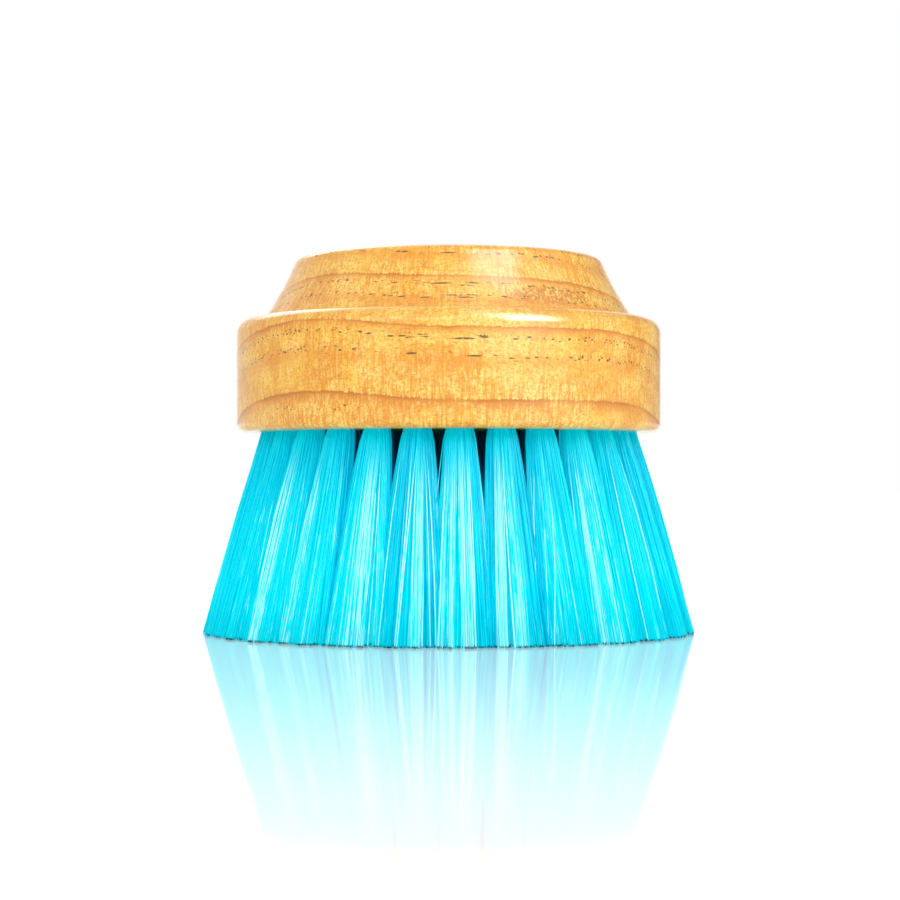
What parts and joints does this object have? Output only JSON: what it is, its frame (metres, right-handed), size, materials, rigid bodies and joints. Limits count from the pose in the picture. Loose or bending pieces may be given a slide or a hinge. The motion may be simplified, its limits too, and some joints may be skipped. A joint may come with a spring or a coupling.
{
  "type": "palm brush",
  "caption": "Round palm brush: a turned wooden block with a conical palm grip, filled underneath with flared tufts of stiff plastic bristles.",
  "frame": {"origin": "on the block's turning axis, in the plane of the bristle tips that the brush stands on", "axes": "+Z along the turning axis from the bristle tips to the grip's flat top; -Y is the side that faces the picture's viewer, +X is to the viewer's right"},
  "size_m": [0.1046, 0.1046, 0.0792],
  "materials": {
    "wood": "clear gloss lacquer over pale softwood",
    "bristle": "translucent filament",
    "anchor_wire": "drawn flat wire"
  },
  "bodies": {
    "root": {"block": "wood", "outer_tuft_01": "bristle", "outer_tuft_02": "bristle", "outer_tuft_03": "bristle", "outer_tuft_04": "bristle", "outer_tuft_05": "bristle", "outer_tuft_06": "bristle", "outer_tuft_07": "bristle", "outer_tuft_08": "bristle", "outer_tuft_09": "bristle", "outer_tuft_10": "bristle", "outer_tuft_11": "bristle", "outer_tuft_12": "bristle", "outer_tuft_13": "bristle", "outer_tuft_14": "bristle", "outer_tuft_15": "bristle", "outer_tuft_16": "bristle", "outer_tuft_17": "bristle", "outer_tuft_18": "bristle", "outer_tuft_19": "bristle", "outer_tuft_20": "bristle", "outer_tuft_21": "bristle", "outer_tuft_22": "bristle", "outer_tuft_23": "bristle", "outer_tuft_24": "bristle", "outer_tuft_25": "bristle", "outer_tuft_26": "bristle", "outer_tuft_27": "bristle", "outer_tuft_28": "bristle", "second_tuft_01": "bristle", "second_tuft_02": "bristle", "second_tuft_03": "bristle", "second_tuft_04": "bristle", "second_tuft_05": "bristle", "second_tuft_06": "bristle", "second_tuft_07": "bristle", "second_tuft_08": "bristle", "second_tuft_09": "bristle", "second_tuft_10": "bristle", "second_tuft_11": "bristle", "second_tuft_12": "bristle", "second_tuft_13": "bristle", "second_tuft_14": "bristle", "second_tuft_15": "bristle", "second_tuft_16": "bristle", "second_tuft_17": "bristle", "second_tuft_18": "bristle", "second_tuft_19": "bristle", "second_tuft_20": "bristle", "second_tuft_21": "bristle", "second_tuft_22": "bristle", "third_row_tufts": "bristle", "fourth_row_tufts": "bristle", "fifth_row_tufts": "bristle", "outer_row_anchors": "anchor_wire", "second_row_anchors": "anchor_wire", "third_row_anchors": "anchor_wire", "fourth_row_anchors": "anchor_wire", "fifth_row_anchors": "anchor_wire"}
  },
  "joints": []
}
